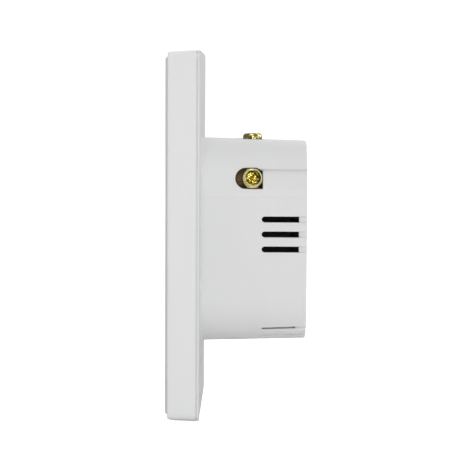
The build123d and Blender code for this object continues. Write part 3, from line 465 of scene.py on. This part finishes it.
PLASTICS = {
    "pad_rubber": dict(first=(0.02, 0.02, 0.02), second=(0.04, 0.04, 0.04), rough=(0.6, 0.8)),
    "black_plastic": dict(first=(0.015, 0.015, 0.016), second=(0.03, 0.03, 0.032)),
    "led_plastic": dict(first=(0.80, 0.78, 0.55), second=(0.88, 0.87, 0.76), rough=(0.2, 0.3)),
    "relay_plastic": dict(first=(0.012, 0.012, 0.014), second=(0.03, 0.03, 0.034)),
    "ferrite": dict(first=(0.03, 0.03, 0.032), second=(0.06, 0.06, 0.062), rough=(0.55, 0.75)),
    "tape_plastic": dict(first=(0.62, 0.42, 0.04), second=(0.75, 0.55, 0.08), rough=(0.2, 0.35)),
    "black_sleeve": dict(
        first=(0.006, 0.006, 0.007), second=(0.012, 0.012, 0.013), rough=(0.45, 0.6), gloss=0.1
    ),
    "film_plastic": dict(
        first=(0.015, 0.015, 0.018), second=(0.03, 0.03, 0.035), rough=(0.3, 0.5)
    ),
    "fuse_plastic": dict(first=(0.012, 0.012, 0.012), second=(0.03, 0.03, 0.03), rough=(0.3, 0.5)),
    "varistor_lacquer": dict(
        first=(0.01, 0.03, 0.12), second=(0.02, 0.06, 0.22), rough=(0.2, 0.4)
    ),
}
OTHERS = {
    "clear_plastic": clear_plastic,
    "green_board": circuit_board,
    "winding_lacquer": winding,
}
SCREWS = {
    "terminal_screw_near": dict(axis="X", outward=1.0, stain_and_dark_reflection=0.12, shift=SIDE_SHIFT),
    "terminal_screw_far": dict(axis="X", outward=-1.0, stain_and_dark_reflection=0.12, shift=SIDE_SHIFT),
    # The top screw's heavy stains are a painted dark reflection.
    "terminal_screw_top": dict(axis="Z", outward=1.0, stain_and_dark_reflection=0.85, shift=(0.0, 0.0)),
}


def slot_look(slot):
    """A new material for one of the record's material slots."""
    name = slot + "_look"
    for make, table in ((moulded, MOULDED), (stamped_metal, METALS), (plain_plastic, PLASTICS)):
        if slot in table:
            return make(name, **table[slot])
    return OTHERS[slot](name)


def dress():
    """Give each CAD node its slot's finish, and each terminal screw one of its own."""
    slots = {part["node"]: part["material_slot"] for part in frame["record"]["subparts"]}
    made = {}
    for node_name, thing in nodes.items():
        slot = slots[node_name]
        if node_name in SCREWS:
            material = screw_brass(node_name, **SCREWS[node_name])
        else:
            if slot not in made:
                made[slot] = slot_look(slot)
            material = made[slot]
        thing.data.materials.clear()
        thing.data.materials.append(material)


# Camera, floor and light


def camera():
    """The photograph's viewpoint: level with the side of the switch, a little from above."""
    level = Vector((math.sin(CAMERA_YAW), math.cos(CAMERA_YAW), 0.0))
    forward = Vector((-level.y, level.x, 0.0)) * math.cos(CAMERA_PITCH)
    forward.z = -math.sin(CAMERA_PITCH)
    upright = level.cross(forward)
    right = level * math.cos(CAMERA_ROLL) + upright * math.sin(CAMERA_ROLL)
    up = upright * math.cos(CAMERA_ROLL) - level * math.sin(CAMERA_ROLL)
    data = bpy.data.cameras.new("camera")
    data.lens = CAMERA_LENS
    data.sensor_width = SENSOR_WIDTH
    data.clip_start = 0.01
    data.clip_end = 20.0
    eye = bpy.data.objects.new("camera", data)
    turn = Matrix((right, up, -forward)).transposed().to_4x4()
    eye.matrix_world = Matrix.Translation(CAMERA_PLACE) @ turn
    bpy.context.scene.collection.objects.link(eye)
    bpy.context.scene.camera = eye


def floor():
    """A plain pale floor that the camera sees as white, with a faint shadow."""
    height = cad_box[0].z - FLOOR_GAP
    bpy.ops.mesh.primitive_plane_add(size=FLOOR_SIZE, location=(0.0, 0.0, height))
    plane = bpy.context.object
    plane.name = "floor"
    look = Look("floor_look")
    tone = look.vary(look.noise(3.0), *FLOOR_TONES)
    seen = look.add("ShaderNodeLightPath").outputs["Is Camera Ray"]
    glow = look.maths("MULTIPLY_ADD", seen, FLOOR_GLOW_SEEN, FLOOR_GLOW)
    look.finish(
        tone,
        roughness=0.9,
        Specular_IOR_Level=0.1,
        Emission_Color=WHITE_LIGHT,
        Emission_Strength=glow,
    )
    plane.data.materials.append(look.material)


def room():
    """A white room that lights the switch; shiny surfaces see it dark far out to the sides."""
    world = bpy.data.worlds.new("studio")
    bpy.context.scene.world = world
    world.use_nodes = True
    shades = Nodes(world.node_tree)
    way = shades.add("ShaderNodeSeparateXYZ")
    shades.feed(way.inputs["Vector"], shades.add("ShaderNodeTexCoord").outputs["Generated"])
    sideways = shades.maths("ABSOLUTE", way.outputs["X"])
    mirrored = shades.spread(sideways, 0.78, 0.97, ROOM_LEVEL_MIRRORED, SIDE_LEVEL_MIRRORED)
    path = shades.add("ShaderNodeLightPath")
    level = shades.choose(path.outputs["Is Glossy Ray"], ROOM_LEVEL, mirrored)
    level = shades.choose(path.outputs["Is Camera Ray"], level, ROOM_LEVEL_SEEN)
    background = world.node_tree.nodes["Background"]
    shades.feed(background.inputs["Color"], WHITE_LIGHT)
    shades.feed(background.inputs["Strength"], level)


def lamp(name, place, size, level):
    """A soft round area lamp aimed at the switch."""
    data = bpy.data.lights.new(name, "AREA")
    data.shape = "DISK"
    data.size = size
    away = Vector(place) - LAMP_TARGET
    data.energy = level * math.pi**2 * away.length_squared
    thing = bpy.data.objects.new(name, data)
    turn = away.to_track_quat("Z", "Y").to_matrix().to_4x4()
    thing.matrix_world = Matrix.Translation(place) @ turn
    bpy.context.scene.collection.objects.link(thing)


dress()
camera()
floor()
room()
for values in LAMPS:
    lamp(*values)
bpy.context.scene.view_settings.view_transform = "Standard"
